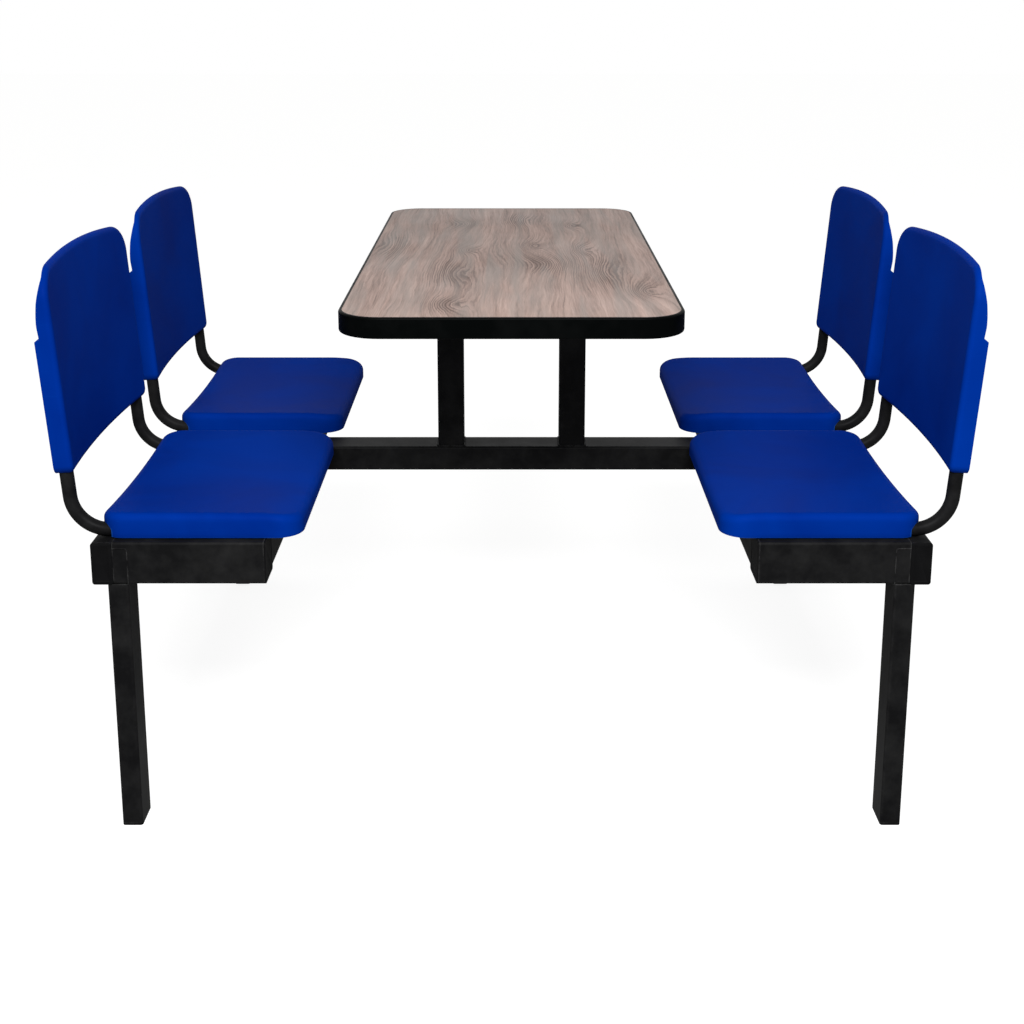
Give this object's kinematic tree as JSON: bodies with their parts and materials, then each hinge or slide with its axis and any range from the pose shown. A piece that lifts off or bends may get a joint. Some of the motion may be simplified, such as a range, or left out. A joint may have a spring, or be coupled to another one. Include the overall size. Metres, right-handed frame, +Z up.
{
  "type": "canteen table with fixed seats",
  "caption": "Canteen table with moulded seats carried on one welded tube frame: wood-grain laminate top with a black edge band, seat pans and backs on bent round tubes.",
  "frame": {"origin": "on the floor, under the middle of the table top", "axes": "+Z up, Y along the table's long side, +X towards one side's seats"},
  "size_m": [1.3214, 1.01, 0.8436],
  "materials": {
    "frame": "satin black powder coat",
    "seat_plastic": "fine texture, royal blue polypropylene",
    "laminate": "satin wood-grain laminate",
    "board": "raw particle board",
    "backer": "grey backing laminate",
    "edge_band": "satin black PVC",
    "cap": "matt black moulded",
    "screw": "zinc plated"
  },
  "bodies": {
    "root": {"arm_end_caps": "cap", "arm_front_left": "frame", "arm_front_right": "frame", "arm_rear_left": "frame", "arm_rear_right": "frame", "back_screws": "screw", "center_beam": "frame", "foot_front_left": "cap", "foot_front_right": "cap", "foot_rear_left": "cap", "foot_rear_right": "cap", "leg_front_left": "frame", "leg_front_right": "frame", "leg_rear_left": "frame", "leg_rear_right": "frame", "post_left": "frame", "post_right": "frame", "rail_end_caps": "cap", "rail_inner_left": "frame", "rail_inner_right": "frame", "rail_outer_left": "frame", "rail_outer_right": "frame", "seat_back_front_left": "seat_plastic", "seat_back_front_right": "seat_plastic", "seat_back_rear_left": "seat_plastic", "seat_back_rear_right": "seat_plastic", "seat_pan_front_left": "seat_plastic", "seat_pan_front_right": "seat_plastic", "seat_pan_rear_left": "seat_plastic", "seat_pan_rear_right": "seat_plastic", "seat_screws": "screw", "side_tube_far_front_left": "frame", "side_tube_far_front_right": "frame", "side_tube_far_rear_left": "frame", "side_tube_far_rear_right": "frame", "side_tube_near_front_left": "frame", "side_tube_near_front_right": "frame", "side_tube_near_rear_left": "frame", "side_tube_near_rear_right": "frame", "strap_front_front_left": "frame", "strap_front_front_right": "frame", "strap_front_rear_left": "frame", "strap_front_rear_right": "frame", "strap_rear_front_left": "frame", "strap_rear_front_right": "frame", "strap_rear_rear_left": "frame", "strap_rear_rear_right": "frame", "table_backer": "backer", "table_core": "board", "table_edge": "edge_band", "table_laminate": "laminate", "top_bar_caps": "cap", "top_bar_left": "frame", "top_bar_right": "frame", "top_screws": "screw", "tube_plugs": "cap"}
  },
  "joints": []
}
